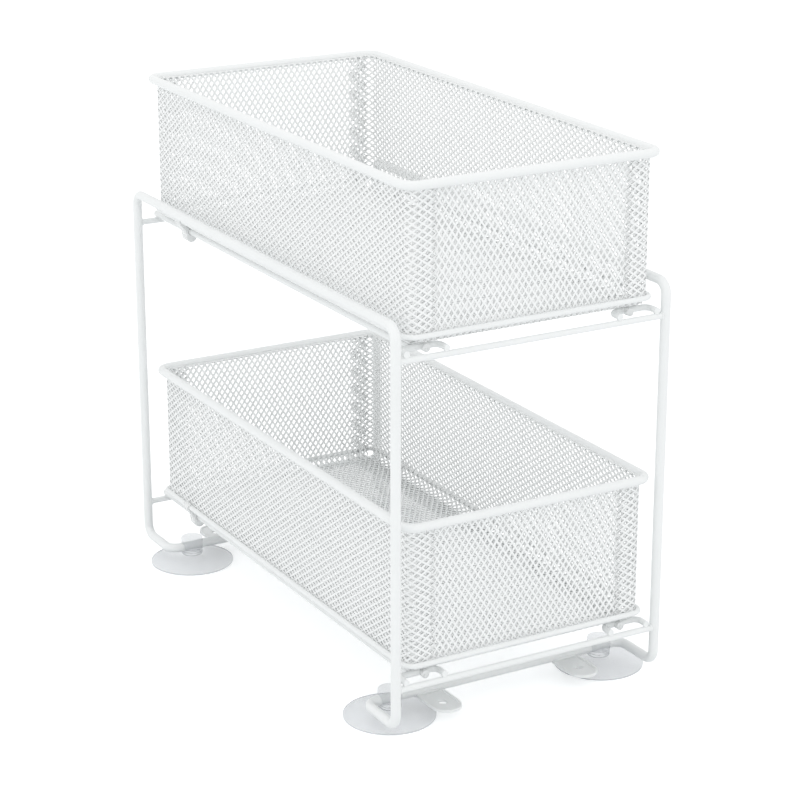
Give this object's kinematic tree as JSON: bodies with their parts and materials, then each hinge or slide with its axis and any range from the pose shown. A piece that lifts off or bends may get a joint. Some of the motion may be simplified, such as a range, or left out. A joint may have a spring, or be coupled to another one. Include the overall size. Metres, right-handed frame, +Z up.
{
  "type": "pull out cabinet basket",
  "caption": "Free-standing bent-wire stand on suction cups, carrying sliding wire-rimmed mesh baskets one over the other that pull out at the front.",
  "frame": {"origin": "on the floor, at the middle of the stand's footprint", "axes": "+X to the right, -Y to the front that the baskets pull out of, +Z up"},
  "size_m": [0.1868, 0.3204, 0.3037],
  "materials": {
    "powder_coat": "white satin powder coat on steel wire",
    "mesh_coat": "white satin powder coat on expanded steel mesh",
    "clear_vinyl": "clear soft vinyl, glossy",
    "nylon": "natural translucent nylon, satin"
  },
  "bodies": {
    "stand": {"left_side_frame": "powder_coat", "right_side_frame": "powder_coat", "front_foot_bar": "powder_coat", "rear_foot_bar": "powder_coat", "upper_front_crossbar": "powder_coat", "upper_rear_crossbar": "powder_coat", "lower_front_crossbar": "powder_coat", "lower_rear_crossbar": "powder_coat", "upper_left_outer_guide": "powder_coat", "upper_left_inner_guide": "powder_coat", "upper_right_inner_guide": "powder_coat", "upper_right_outer_guide": "powder_coat", "lower_left_outer_guide": "powder_coat", "lower_left_inner_guide": "powder_coat", "lower_right_inner_guide": "powder_coat", "lower_right_outer_guide": "powder_coat", "upper_left_stop_loop": "powder_coat", "upper_right_stop_loop": "powder_coat", "lower_left_stop_loop": "powder_coat", "lower_right_stop_loop": "powder_coat", "upper_left_stop_button": "nylon", "upper_right_stop_button": "nylon", "lower_left_stop_button": "nylon", "lower_right_stop_button": "nylon", "front_left_suction_cup": "clear_vinyl", "front_right_suction_cup": "clear_vinyl", "rear_left_suction_cup": "clear_vinyl", "rear_right_suction_cup": "clear_vinyl", "front_left_screw_tab": "powder_coat", "front_right_screw_tab": "powder_coat", "rear_left_screw_tab": "powder_coat", "rear_right_screw_tab": "powder_coat"},
    "upper_basket": {"upper_basket_mesh": "mesh_coat", "upper_basket_rim": "powder_coat", "upper_basket_ring": "powder_coat", "upper_left_slide_clip": "nylon", "upper_right_slide_clip": "nylon"},
    "lower_basket": {"lower_basket_mesh": "mesh_coat", "lower_basket_rim": "powder_coat", "lower_basket_ring": "powder_coat", "lower_left_slide_clip": "nylon", "lower_right_slide_clip": "nylon"}
  },
  "joints": [
    {"name": "upper_basket_slide", "type": "slide", "parent": "stand", "child": "upper_basket", "axis": [0, -1, 0], "range_m": [0, 0.2548]},
    {"name": "lower_basket_slide", "type": "slide", "parent": "stand", "child": "lower_basket", "axis": [0, -1, 0], "range_m": [0, 0.2548]}
  ]
}
